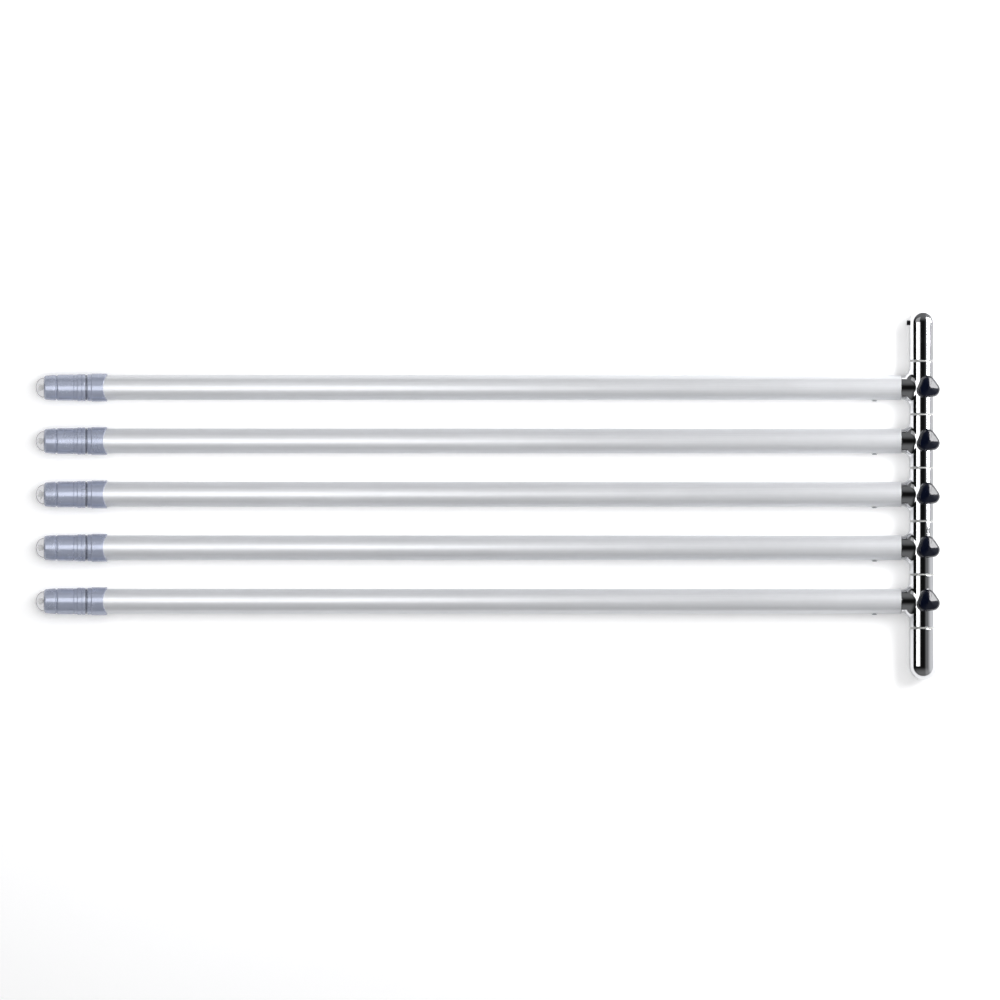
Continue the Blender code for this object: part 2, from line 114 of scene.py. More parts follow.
class BarSizes(bpy.types.PropertyGroup):
    """Sizes of the crossbar and of the sleeves in line on it."""
    sleeve_radius: length("Sleeve radius", half_span("end_sleeve_top", 2), "Outside of every sleeve")
    bore_radius: length("Bore radius", 0.0103, "Inside of every sleeve")
    screw_pitch: length("Set screw pitch", 0.0008, "Rise of the set screw's thread in one turn")
    rim: length("Rim", 0.0006, "Rounding of a sleeve's rims")
    dome_wall: length("Dome wall", 0.0025, "Thickness of an end sleeve's dome")
    screw_radius: length("Set screw radius", 0.0025, "Radius of an end sleeve's set screw")
    screw_socket: length("Socket", 0.0026, "Set screw's socket across its flats")
    screw_socket_depth: length("Socket depth", 0.0014, "Depth of the set screw's socket")
    washer_rim: length("Washer rounding", 0.00025, "Rounding of a washer's edges")


class TeeSizes(bpy.types.PropertyGroup):
    """Sizes of the tees' necks and spigots."""
    neck_radius: length("Neck radius", 0.012, "Radius of the neck between sleeve and tube")
    fillet: length("Fillet", 0.0074, "Radius with which the neck sweeps into the sleeve")
    neck_end: length("Neck end", 0.022, "Distance of the tube's seat from the crossbar's axis")
    spigot_radius: length("Spigot radius", 0.0107, "Part of the tee inside the tube")
    spigot_wall: length("Spigot wall", 0.0027, "Wall of the spigot")
    spigot_web: length("Spigot web", 0.004, "Metal between the seat and the spigot's bore")
    shoulder: length("Shoulder rounding", 0.0003, "Rounding of the shoulder in front of the tube")


class TubeSizes(bpy.types.PropertyGroup):
    """Sizes of the arm tubes and of their rivets."""
    radius: length("Tube radius", half_span("arm_tube_1", 1), "Outside of the arm tubes")
    wall: length("Tube wall", 0.0015, "Wall of the arm tubes")
    edge: length("Tube edge", 0.0004, "Rounding of a tube's cut edges")
    rivet_at: length("Rivet place", AXIS.x - middle("tube_rivet_1").x, "From the crossbar to the rivet")
    rivet_radius: length("Rivet radius", 0.0016, "Radius of the rivet's shank")
    head_radius: length("Rivet head radius", 0.0032, "Radius of the rivet's head")
    head_height: length("Rivet head height", 0.0012, "How far the head stands out from the tube")
    head_gap: length("Rivet head gap", 0.0003, "From the tube to the underside of the head")


class GripSizes(bpy.types.PropertyGroup):
    """Sizes of the ringed barrels and of the collars beside them."""
    end_step: length("End step", 0.00325, "How far the barrel's eye end lies inside the collar's surface")
    waist_step: length("Waist step", 0.00125, "How far the barrel's waist lies inside the collar's surface")
    body_step: length("Body step", 0.001, "How far the barrel's body lies inside the collar's surface")
    band_step: length("Band step", 0.00045, "How far the barrel's band lies inside the collar's surface")
    neck_step: length("Neck step", 0.0013, "How far the barrel's neck lies inside the collar's surface")
    # Painted shade: how dark the barrel's neck is painted in the gap beside the collar
    neck_shade: amount("Neck shade", 1.3, "How dark the painted shade in the gap beside the collar is", 2.0)
    waist_at: length("Waist place", 0.009, "From the eye end to the waist")
    groove_at: length("Groove place", 0.0112, "From the eye end to the groove")
    groove_width: length("Groove width", 0.002, "Width of the groove")
    groove_depth: length("Groove depth", 0.0008, "Depth of the groove")
    ring_at: length("Ring place", 0.029, "From the eye end to the fine ring")
    band_at: length("Band place", 0.033, "From the eye end to the band")
    ring_width: length("Ring width", 0.001, "Width of the fine rings")
    ring_depth: length("Ring depth", 0.0004, "Depth of the fine rings")
    shoulder_at: length("Shoulder place", 0.0411, "From the eye end to the barrel's shoulder")
    plug_radius: length("Plug radius", 0.0107, "Part of the barrel inside the tube")
    plug_wall: length("Plug wall", 0.0027, "Wall of the plug")
    web: length("Web", 0.0035, "Plastic between the eye's shank and the plug's bore")
    fit: length("Fit", 0.0003, "Gap between pieces that touch, and around a screw, stud or rivet")
    collar_length: length("Collar length", 0.0179, "Up to the middle of the collar's waved mouth")
    collar_lip: length("Collar lip", 0.002, "Part of the collar in front of the tube's end")
    collar_step_at: length("Collar step place", 0.004, "From the collar's back to its step")
    collar_step: length("Collar step", 0.0006, "Height of the collar's step")
    collar_wave: length("Collar wave", 0.0021, "How far the mouth's sides reach beyond its middle")
    mouth_rounding: length("Mouth rounding", 0.0006, "Rounding of the collar's mouth")
    rounding: length("Rounding", 0.0005, "Rounding of the moulded edges")


class EyeSizes(bpy.types.PropertyGroup):
    """Sizes of the hanging eyes."""
    radius: length("Eye radius", half_span("hanging_eye_1", 1), "Radius of the eye where it meets the barrel")
    thickness: length("Thickness", 0.008, "Between the eye's flats")
    hole_radius: length("Hole radius", 0.0032, "Radius of the cross hole")
    hole_setback: length("Hole setback", 0.005, "From the eye's tip to the hole's centre")
    shank_radius: length("Shank radius", 0.0045, "Part of the eye inside the barrel")
    shank_length: length("Shank length", 0.014, "Length of the shank")
    edge: length("Edge rounding", 0.0005, "Rounding of the eye's edges")


class KnobSizes(bpy.types.PropertyGroup):
    """Sizes of the clamp knobs and of their studs."""
    radius: length("Knob radius", 0.0123, "From the stud's axis to a lobe's tip")
    lobe: length("Lobe", 0.0073, "Radius of a lobe")
    height: length("Knob height", 0.014, "From the hub's foot to the top")
    base: length("Base", 0.0148, "From the crossbar's axis to the hub's foot")
    hub_radius: length("Hub radius", 0.0062, "Radius of the hub under the knob")
    hub_height: length("Hub height", 0.0016, "Height of the hub")
    stud_radius: length("Stud radius", 0.003, "Outside of the stud's thread")
    stud_start: length("Stud start", 0.012, "From the crossbar's axis to the stud's foot")
    stud_grip: length("Stud grip", 0.008, "How far the stud reaches into the knob")
    thread_pitch: length("Thread pitch", 0.001, "Rise of the thread in one turn")
    thread_depth: length("Thread depth", 0.00055, "Depth of the thread")
    lean: FloatProperty(name="Lean", description="How far the stud leans from upright", subtype="ANGLE",
                        default=radians(12.0), unit="ROTATION")
    turn: FloatProperty(name="Turn", description="Where the first lobe points", subtype="ANGLE",
                        default=radians(97.0), unit="ROTATION")


class FinishColours(bpy.types.PropertyGroup):
    """Colours of the finishes."""
    chrome: colour("Chrome", (0.80, 0.805, 0.82), "Plated tees and end sleeves")
    aluminium: colour("Satin aluminium", (0.78, 0.79, 0.815), "Arm tubes")
    barrel: colour("Barrel", (0.41, 0.445, 0.56), "Ringed grips")
    collar: colour("Collar", (0.40, 0.435, 0.55), "Collars over the tubes' ends")
    polished: colour("Polished steel", (0.34, 0.34, 0.35), "Hanging eyes")
    knob: colour("Knob", (0.0015, 0.0025, 0.008), "Clamp knobs")
    rivet: colour("Rivets", (0.42, 0.43, 0.45), "Rivets in the tubes")
    screw: colour("Set screws", (0.015, 0.015, 0.018), "Set screws in the end sleeves")
    washer: colour("Washers", (0.55, 0.55, 0.53), "Washers between the sleeves")
    rod: colour("Rod", (0.42, 0.43, 0.45), "Crossbar inside the sleeves")
    stud: colour("Studs", (0.52, 0.53, 0.55), "Studs of the clamp knobs")
    pad: colour("Pads", (0.70, 0.68, 0.60), "Pressure pads under the studs")


class StageSettings(bpy.types.PropertyGroup):
    """The floor, the studio lights and the camera."""
    floor_size: length("Floor", 12.0, "Side of the square floor")
    floor_glow: amount("Floor glow", 0.24, "How much brighter the floor looks than the pieces see it", 10.0)
    room: amount("Room", 0.15, "Brightness of the room beyond the crossbar's ends", 10.0)
    wall: amount("Wall", 0.55, "Brightness of the wall beside the crossbar", 10.0)
    overhead: amount("Overhead", 2.0, "Brightness of the softbox over the arms")
    edge_share: amount("Edge share", 0.25, "The softbox over the crossbar, as a share of Overhead", 1.0)
    rear_share: amount("Rear share", 0.17, "The softbox behind the arms, as a share of Overhead", 1.0)
    key: amount("Key", 12.0, "Brightness of the softbox beside the crossbar")
    fill: amount("Fill", 1.1, "Brightness of the soft light that no piece mirrors")
    height: length("Light height", 0.7, "Height of the lights over the crossbar's axis")
    view_width: length("View width", 1.0, "Width that the camera sees")
    view_height: length("Camera height", 30.0, "Height of the camera, far off so that nothing splays")
    view_offset: FloatVectorProperty(name="View offset", description="Where the camera looks, from the origin",
                                     default=(0.0123, -0.0056), size=2, unit="LENGTH", subtype="XYZ")


SETTINGS = {
    "rake_bar": BarSizes, "rake_tee": TeeSizes, "rake_tube": TubeSizes, "rake_grip": GripSizes,
    "rake_eye": EyeSizes, "rake_knob": KnobSizes, "rake_colours": FinishColours, "rake_stage": StageSettings,
}


# --- Places -------------------------------------------------------------------------------------------

def bar_place(across=0.0, flip=1):
    """Z along the crossbar, towards +Y, or towards -Y where flip is -1."""
    return Matrix.Translation((AXIS.x, across, AXIS.z)) @ Matrix.Rotation(-flip * pi / 2, 4, "X")


def cross_place(node, lean):
    """In line with a node, with Z up from the crossbar's axis and leaning towards +X."""
    return Matrix.Translation((AXIS.x, middle(node).y, AXIS.z)) @ Matrix.Rotation(lean, 4, "Y")


def arm_place(number):
    return cross_place(f"arm_tube_{number}", -pi / 2)


def clamp_place(number):
    return cross_place(f"arm_tube_{number}", bpy.context.scene.rake_knob.lean)


def rivet_place(tube):
    """Z towards -Y in an arm's own axes, at the rivet."""
    return Matrix.Translation((0, 0, tube.rivet_at)) @ Matrix.Rotation(pi / 2, 4, "X")


# --- Shapes -------------------------------------------------------------------------------------------

WELD = 2e-6         # corners closer than this become one
ON_SURFACE = 2e-5   # a corner closer than this to an exact surface lies on it
HAIR = 1e-6         # a limit's own corners count as inside it


def rounded(corners, joined=False):
    """Points and edge marks of an outline from (height, radius, rounding) corners.

    A mark is 1 on a rounded outer edge, -1 in a rounded inner corner and 0 elsewhere.
    """
    spots = [Vector(corner[:2]) for corner in corners]
    count = len(spots)
    turning = sum(a.x * b.y - b.x * a.y for a, b in zip(spots, spots[1:] + spots[:1]))
    support_gap = 0.3
    points = []
    for index, (spot, corner) in enumerate(zip(spots, corners)):
        inner = joined or 0 < index < count - 1
        if not inner or len(corner) < 3 or corner[2] == 0:
            points.append((spot.x, spot.y, 0.0))
            continue
        size = corner[2]
        back = (spots[index - 1] - spot).normalized()
        ahead = (spots[(index + 1) % count] - spot).normalized()
        half = back.angle(ahead) / 2
        along = size / tan(half)
        centre = spot + (back + ahead).normalized() * size / sin(half)
        start, end = spot + back * along - centre, spot + ahead * along - centre
        sweep = pi - 2 * half
        bend = ahead.x * back.y - back.x * ahead.y
        mark = 1.0 if bend * turning > 0 else -1.0
        support = spot + back * (along + support_gap * size)
        points.append((support.x, support.y, 0.0))
        steps = max(2, ceil(sweep / radians(20)))
        for step in range(steps + 1):
            share = step / steps
            arm = (start * sin((1 - share) * sweep) + end * sin(share * sweep)) / sin(sweep)
            points.append((centre.x + arm.x, centre.y + arm.y, mark))
        support = spot + ahead * (along + support_gap * size)
        points.append((support.x, support.y, 0.0))
    return points


def skin(form, rings, marks=None, joined=False, around=True):
    """Faces through rings of points; a ring of one point closes an end, and joined rings meet again."""
    layer = form.verts.layers.float.get("edge") or form.verts.layers.float.new("edge")
    loops = []
    for index, ring in enumerate(rings):
        loop = [form.verts.new(point) for point in ring]
        for vertex in loop:
            vertex[layer] = marks[index] if marks else 0.0
        loops.append(loop)
    pairs = list(zip(loops, loops[1:])) + ([(loops[-1], loops[0])] if joined else [])
    for low, high in pairs:
        count = max(len(low), len(high))
        for here in range(count if around else count - 1):
            after = (here + 1) % count
            corners = (low[here % len(low)], low[after % len(low)],
                       high[after % len(high)], high[here % len(high)])
            form.faces.new(tuple(dict.fromkeys(corners)))


def mesh_of(name, form, sharp=40.0):
    """The mesh of a form, with its normals out and its curved sides smooth."""
    bmesh.ops.remove_doubles(form, verts=form.verts, dist=WELD)
    bmesh.ops.recalc_face_normals(form, faces=form.faces)
    mesh = bpy.data.meshes.new(name)
    form.to_mesh(mesh)
    form.free()
    mesh.shade_smooth()
    mesh.set_sharp_from_angle(angle=radians(sharp))
    return mesh


def circle(radius, height, segments, start=0.0):
    """A ring of points about Z, or a single point where the radius is 0."""
    if radius == 0:
        return [Vector((0, 0, height))]
    angles = [start + 2 * pi * step / segments for step in range(segments)]
    return [Vector((radius * cos(angle), radius * sin(angle), height)) for angle in angles]


def cylinder(name, radius, start, end, segments):
    """A closed cylinder or prism along Z, which cuts a hole."""
    form = bmesh.new()
    skin(form, [circle(0, start, 1), circle(radius, start, segments), circle(radius, end, segments),
                circle(0, end, 1)])
    return mesh_of(name, form)


def turned(name, corners, segments, joined=False):
    """A solid turned about Z from (height, radius, rounding) corners."""
    form = bmesh.new()
    outline = rounded(corners, joined)
    rings = [circle(radius, height, segments) for height, radius, _ in outline]
    skin(form, rings, [mark for _, _, mark in outline], joined)
    return mesh_of(name, form)


def carved(mesh, cutters, sharp=40.0, edge=0.0):
    """A mesh with cutters taken out of it, in order, and with its sharp edges rounded."""
    blank = bpy.data.objects.new("blank", mesh)
    bpy.context.scene.collection.objects.link(blank)
    tools = []
    for cutter, place in cutters:
        tool = bpy.data.objects.new("cutter", cutter)
        tool.matrix_world = place
        bpy.context.scene.collection.objects.link(tool)
        cut = blank.modifiers.new("cut", "BOOLEAN")
        cut.operation, cut.object = "DIFFERENCE", tool
        tools.append(tool)
    if edge:
        bevel = blank.modifiers.new("edge", "BEVEL")
        bevel.width, bevel.segments, bevel.limit_method = edge, 3, "ANGLE"
        bevel.angle_limit = radians(35)
    bpy.context.view_layer.update()
    seen = blank.evaluated_get(bpy.context.evaluated_depsgraph_get())
    made = bpy.data.meshes.new_from_object(seen)
    made.name = mesh.name
    made.shade_smooth()
    made.set_sharp_from_angle(angle=radians(sharp))
    for done in [blank] + tools:
        bpy.data.objects.remove(done)
    return made


def true_normals(mesh, ideals):
    """Give corners the normals of the exact surface, where one lies close to the face's own."""
    default = [corner.vector.copy() for corner in mesh.corner_normals]
    normals = []
    for face in mesh.polygons:
        for corner in face.loop_indices:
            spot = mesh.vertices[mesh.loops[corner].vertex_index].co
            close = [ideal for ideal in ideals(spot) if ideal.dot(face.normal) > 0.9]
            normals.append(close[0] if close else default[corner])
    mesh.normals_split_custom_set(normals)


def key_of(spot):
    return tuple(round(value, 6) for value in spot)


def put(name, mesh, place, body, node, look):
    """One piece in its place, which rides on a body and stands for a CAD node."""
    own = mesh.copy()
    own.transform(place)
    own.materials.clear()
    own.materials.append(look)
    piece = bpy.data.objects.new(name, own)
    bpy.context.scene.collection.objects.link(piece)
    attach(piece, body)
    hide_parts(node)


def put_all(name, mesh, node, look, place=arm_place, body="arm"):
    """One copy of a piece for each arm or knob."""
    for number in ARMS:
        put(f"{name}_{number}", mesh, place(number), f"{body}_{number}", f"{node}_{number}", look)


# --- Finishes -----------------------------------------------------------------------------------------

def add(tree, kind, inputs=(), **settings):
    """A node with its settings; each input is a number, a colour or another node's output."""
    node = tree.nodes.new(kind)
    node.location.x = 180 * len(tree.nodes)
    for name, value in settings.items():
        setattr(node, name, value)
    for key, value in dict(inputs).items():
        if isinstance(value, bpy.types.NodeSocket):
            tree.links.new(value, node.inputs[key])
        else:
            node.inputs[key].default_value = value
    return node


def maths(tree, operation, *values):
    return add(tree, "ShaderNodeMath", enumerate(values), operation=operation).outputs[0]


def scaled(tree, value, factor):
    return maths(tree, "MULTIPLY", value, factor)


def noise(tree, place, scale, detail, **inputs):
    """Soft noise between 0 and 1."""
    inputs = {"Vector": place, "Scale": scale, "Detail": detail, **inputs}
    return add(tree, "ShaderNodeTexNoise", inputs).outputs[0]


def spread(tree, value, low, high, to_low, to_high):
    """A value moved smoothly from one range to another."""
    inputs = {"Value": value, "From Min": low, "From Max": high, "To Min": to_low, "To Max": to_high}
    return add(tree, "ShaderNodeMapRange", inputs, interpolation_type="SMOOTHSTEP").outputs[0]


def stretched(tree, stretch=(1.0, 1.0, 1.0)):
    """The piece's own coordinates, multiplied by a stretch."""
    place = add(tree, "ShaderNodeTexCoord").outputs["Object"]
    return add(tree, "ShaderNodeVectorMath", ((0, place), (1, stretch)), operation="MULTIPLY").outputs[0]


def group(name, inputs, outputs, build):
    """A shader node group, built once, from {socket: default} inputs and the names of its outputs."""
    made = bpy.data.node_groups.get(name)
    if made:
        return made
    made = bpy.data.node_groups.new(name, "ShaderNodeTree")
    for label, default in inputs.items():
        kind = "NodeSocketFloat"
        if isinstance(default, tuple):
            kind = "NodeSocketColor" if len(default) == 4 else "NodeSocketVector"
        made.interface.new_socket(label, in_out="INPUT", socket_type=kind).default_value = default
    for label, kind in outputs.items():
        made.interface.new_socket(label, in_out="OUTPUT", socket_type=kind)
    given = made.nodes.new("NodeGroupInput").outputs
    results = build(made, given)
    out = made.nodes.new("NodeGroupOutput")
    for label, socket in results.items():
        made.links.new(socket, out.inputs[label])
    return made


def tone_drift():
    """A colour whose brightness drifts slowly over the surface, with a finer mottle on it."""
    def build(tree, given):
        place = stretched(tree)
        slow = noise(tree, place, given["Scale"], 3.0)
        fine = noise(tree, place, scaled(tree, given["Scale"], 9.0), 2.0)
        both = maths(tree, "ADD", slow, scaled(tree, fine, 0.5))
        swing = scaled(tree, maths(tree, "SUBTRACT", both, 0.75), given["Amount"])
        level = maths(tree, "ADD", swing, 1.0)
        tint = add(tree, "ShaderNodeCombineColor", {"Red": level, "Green": level, "Blue": level}).outputs[0]
        shaded = add(tree, "ShaderNodeMix", {0: 1.0, 6: given["Colour"], 7: tint},
                     data_type="RGBA", blend_type="MULTIPLY")
        return {"Colour": shaded.outputs[2], "Level": both}
    return group("Tone drift", {"Colour": (0.8, 0.8, 0.8, 1.0), "Scale": 8.0, "Amount": 0.2},
                 {"Colour": "NodeSocketColor", "Level": "NodeSocketFloat"}, build)


def fine_lines():
    """Fine parallel lines; the stretch is small along the lines and large across them."""
    def build(tree, given):
        return {"Lines": noise(tree, stretched(tree, given["Stretch"]), 1.0, 4.0, Roughness=0.7)}
    return group("Fine lines", {"Stretch": (10.0, 1000.0, 1000.0)}, {"Lines": "NodeSocketFloat"}, build)


def handling_marks():
    """Masks of soft smudges and of hairline scratches."""
    def build(tree, given):
        place = stretched(tree)
        cloud = noise(tree, place, given["Scale"], 4.0)
        smudge = spread(tree, cloud, 0.45, 0.75, 0.0, 1.0)
        lines = []
        for stretch in ((60.0, 900.0, 300.0), (700.0, 110.0, 500.0)):
            field = noise(tree, stretched(tree, stretch), 1.0, 1.0)
            off = maths(tree, "ABSOLUTE", maths(tree, "SUBTRACT", field, 0.5))
            lines.append(spread(tree, off, 0.0, 0.012, 1.0, 0.0))
        patch = spread(tree, cloud, 0.50, 0.62, 0.0, 1.0)
        return {"Smudge": smudge, "Scratch": scaled(tree, maths(tree, "MAXIMUM", *lines), patch)}
    return group("Handling marks", {"Scale": 30.0},
                 {"Smudge": "NodeSocketFloat", "Scratch": "NodeSocketFloat"}, build)


def moulded_grain():
    """The fine pebbled height of a moulded or bead-blasted surface."""
    def build(tree, given):
        place = stretched(tree)
        inputs = {"Vector": place, "Scale": given["Scale"]}
        cells = add(tree, "ShaderNodeTexVoronoi", inputs, feature="SMOOTH_F1").outputs["Distance"]
        return {"Height": maths(tree, "ADD", cells, noise(tree, place, given["Scale"], 3.0))}
    return group("Moulded grain", {"Scale": 2200.0}, {"Height": "NodeSocketFloat"}, build)


def edge_wear_and_shade():
    """Masks of rubbed outer edges and of darkening in inner corners, from the pieces' edge marks; a stronger
    negative mark gives painted shade, as in the gap beside a collar.
    """
    def build(tree, given):
        mark = add(tree, "ShaderNodeAttribute", attribute_name="edge").outputs["Fac"]
        place = stretched(tree)
        broken = spread(tree, noise(tree, place, given["Scale"], 4.0), 0.42, 0.62, 0.0, 1.0)
        worn = scaled(tree, maths(tree, "MAXIMUM", mark, 0.0), broken)
        return {"Worn": worn, "Dust": maths(tree, "MAXIMUM", scaled(tree, mark, -1.0), 0.0)}
    return group("Edge wear and shade", {"Scale": 400.0},
                 {"Worn": "NodeSocketFloat", "Dust": "NodeSocketFloat"}, build)


def use(tree, made, inputs=()):
    """A group placed in a material with its own values."""
    return add(tree, "ShaderNodeGroup", inputs, node_tree=made).outputs


def mixed(tree, share, first, second):
    """A blend of two colours."""
    return add(tree, "ShaderNodeMix", {0: share, 6: first, 7: second}, data_type="RGBA").outputs[2]


def bumped(tree, height, distance, normal=None):
    """The normal that a height gives, on top of another normal where there is one."""
    inputs = {"Height": height, "Distance": distance, "Strength": 1.0}
    if normal:
        inputs["Normal"] = normal
    return add(tree, "ShaderNodeBump", inputs).outputs[0]


def opaque(shade, factor=1.0):
    return (shade[0] * factor, shade[1] * factor, shade[2] * factor, 1.0)


def finish(name, fixed, build):
    """A material, built once: its Principled shader has fixed values, and build gives what varies."""
    made = bpy.data.materials.get(name)
    if made:
        return made
    made = bpy.data.materials.new(name)
    made.use_nodes = True
    tree = made.node_tree
    shader = tree.nodes["Principled BSDF"]
    for key, value in fixed.items():
        shader.inputs[key].default_value = value
    for key, socket in build(tree).items():
        tree.links.new(socket, shader.inputs[key])
    return made


def bright_metal(name, shade, roughness, haze, drift=0.05, scale=30.0, wear=0.3):
    """Polished or plated metal with faint smudges, hairline scratches and duller worn edges."""
    def build(tree):
        tone = use(tree, tone_drift(), {"Colour": opaque(shade), "Scale": scale / 2, "Amount": drift})
        marks = use(tree, handling_marks(), {"Scale": scale})
        edges = use(tree, edge_wear_and_shade(), {"Scale": 600.0})
        rough = maths(tree, "ADD", scaled(tree, marks["Smudge"], haze), roughness)
        rough = maths(tree, "ADD", rough, scaled(tree, marks["Scratch"], haze * 1.5))
        rough = maths(tree, "ADD", rough, scaled(tree, edges["Worn"], wear * 0.4))
        base = mixed(tree, scaled(tree, edges["Dust"], wear), tone["Colour"], opaque(shade, 0.45))
        grain = use(tree, moulded_grain(), {"Scale": 900.0})
        normal = bumped(tree, grain["Height"], 0.0000015)
        normal = bumped(tree, marks["Scratch"], 0.000004, normal=normal)
        return {"Base Color": base, "Roughness": rough, "Normal": normal}
    return finish(name, {"Metallic": 1.0}, build)


def drawn_metal(name, shade, roughness, stretch, depth, drift=0.08, lines=0.16, metallic=1.0):
    """Drawn or extruded metal: fine lines along it, a slow drift in tone and soft handling marks."""
    def build(tree):
        drawn = use(tree, fine_lines(), {"Stretch": stretch})["Lines"]
        tone = use(tree, tone_drift(), {"Colour": opaque(shade), "Scale": 14.0, "Amount": drift})
        marks = use(tree, handling_marks(), {"Scale": 18.0})
        edges = use(tree, edge_wear_and_shade(), {"Scale": 500.0})
        base = mixed(tree, spread(tree, drawn, 0.40, 0.75, 0.0, 0.5), tone["Colour"], opaque(shade, 0.82))
        base = mixed(tree, scaled(tree, edges["Worn"], 0.6), base, opaque((1.0, 1.0, 1.0), 0.9))
        rough = maths(tree, "ADD", scaled(tree, drawn, lines), roughness - lines / 2)
        rough = maths(tree, "ADD", rough, scaled(tree, marks["Smudge"], 0.05))
        normal = bumped(tree, drawn, depth)
        normal = bumped(tree, marks["Scratch"], 0.000006, normal=normal)
        return {"Base Color": base, "Roughness": rough, "Normal": normal}
    return finish(name, {"Metallic": metallic}, build)


def moulded_plastic(name, shade, roughness, level, grain, metallic=0.0, wear=0.35, lines=None):
    """Moulded plastic: pebbled grain, a slow drift in tone, rubbed edges, darker inner corners and painted
    shade where the edge marks ask for it.
    """
    def build(tree):
        tone = use(tree, tone_drift(), {"Colour": opaque(shade), "Scale": 45.0, "Amount": 0.18})
        edges = use(tree, edge_wear_and_shade(), {"Scale": 450.0})
        marks = use(tree, handling_marks(), {"Scale": 60.0})
        pale = opaque([0.5 * part + 0.5 * max(shade) + 0.16 for part in shade])
        base = mixed(tree, scaled(tree, edges["Worn"], wear), tone["Colour"], pale)
        # Darker in inner corners, and painted shade in the gap beside a collar
        base = mixed(tree, scaled(tree, edges["Dust"], 0.6), base, opaque(shade, 0.35))
        rough = maths(tree, "ADD", scaled(tree, marks["Smudge"], 0.08), roughness)
        rough = maths(tree, "ADD", rough, scaled(tree, marks["Scratch"], 0.12))
        pebbles = use(tree, moulded_grain(), {"Scale": 1800.0})
        normal = bumped(tree, pebbles["Height"], grain)
        if lines:
            turned_lines = use(tree, fine_lines(), {"Stretch": lines})
            normal = bumped(tree, turned_lines["Lines"], 0.00004, normal=normal)
        return {"Base Color": base, "Roughness": rough, "Normal": normal}
    return finish(name, {"Metallic": metallic, "Specular IOR Level": level}, build)


def chrome(colours):
    return bright_metal("Chrome plate", colours.chrome, 0.035, 0.04)


def polished(colours):
    return bright_metal("Polished steel", colours.polished, 0.14, 0.10, drift=0.22, scale=260.0)


def satin_aluminium(colours):
    return drawn_metal("Satin aluminium", colours.aluminium, 0.38, (6.0, 1500.0, 1500.0), 0.000012,
                       metallic=0.5)


def rivet_metal(colours):
    return drawn_metal("Rivet aluminium", colours.rivet, 0.42, (900.0, 900.0, 900.0), 0.00001)


def rod_steel(colours):
    return drawn_metal("Rod steel", colours.rod, 0.30, (1500.0, 20.0, 1500.0), 0.000006)


def stud_steel(colours):
    return drawn_metal("Stud steel", colours.stud, 0.28, (800.0, 800.0, 60.0), 0.000006)


def barrel_plastic(colours):
    return moulded_plastic("Barrel plastic", colours.barrel, 0.22, 1.0, 0.00001, metallic=0.4,
                           lines=(900.0, 8.0, 8.0))


def collar_plastic(colours):
    return moulded_plastic("Collar plastic", colours.collar, 0.22, 1.0, 0.00001, metallic=0.4)


def knob_plastic(colours):
    return moulded_plastic("Knob plastic", colours.knob, 0.10, 0.6, 0.000018, wear=0.05)


def black_oxide(colours):
    return moulded_plastic("Black oxide", colours.screw, 0.38, 0.5, 0.000006, metallic=0.6, wear=0.6)


def nylon(name, shade):
    return moulded_plastic(name, shade, 0.5, 0.5, 0.00002, wear=0.2)


# --- Pieces -------------------------------------------------------------------------------------------

class RAKE_OT_end_sleeves(bpy.types.Operator):
    """Build the domed sleeves at the crossbar's two ends"""
    bl_idname = "rake.end_sleeves"
    bl_label = "End sleeves"

    def execute(self, context):
        bar = context.scene.rake_bar
        node = "end_sleeve_top"
        low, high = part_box(node)
        mouth, tip = low.y, high.y
        outer, bore = bar.sleeve_radius, bar.bore_radius
        dome = tip - outer
        floor = dome + sqrt(max((outer - bar.dome_wall) ** 2 - bore ** 2, 0.0))
        straight = [(mouth + (dome - mouth) * step / 8, outer) for step in range(1, 9)]
        turns = [pi / 2 * step / 24 for step in range(1, 24)]
        arc = [(dome + outer * sin(turn), outer * cos(turn)) for turn in turns]
        corners = [(floor, 0), (floor, bore, bar.rim), (mouth, bore, bar.rim / 2), (mouth, outer, bar.rim)]
        sleeve = turned("End sleeve", corners + straight + arc + [(tip, 0)], 96)
        drill = cylinder("Screw hole", bar.screw_radius + context.scene.rake_grip.fit, 0, 2 * outer, 32)
        across = Matrix.Translation((0, 0, dome)) @ Matrix.Rotation(-pi / 2, 4, "Y")
        sleeve = carved(sleeve, [(drill, across)])

        def ideals(spot):
            ball = spot - Vector((0, 0, dome))
            flat = Vector((spot.x, spot.y, 0))
            if spot.z < dome + HAIR and abs(flat.length - outer) < ON_SURFACE:
                return [flat.normalized()]
            if spot.z > dome and abs(ball.length - outer) < ON_SURFACE:
                return [ball.normalized()]
            return []

        true_normals(sleeve, ideals)
        look = chrome(context.scene.rake_colours)
        for label, flip in (("top", 1), ("bottom", -1)):
            put(f"domed_end_{label}", sleeve, bar_place(flip=flip), "crossbar", f"end_sleeve_{label}", look)
        return {"FINISHED"}


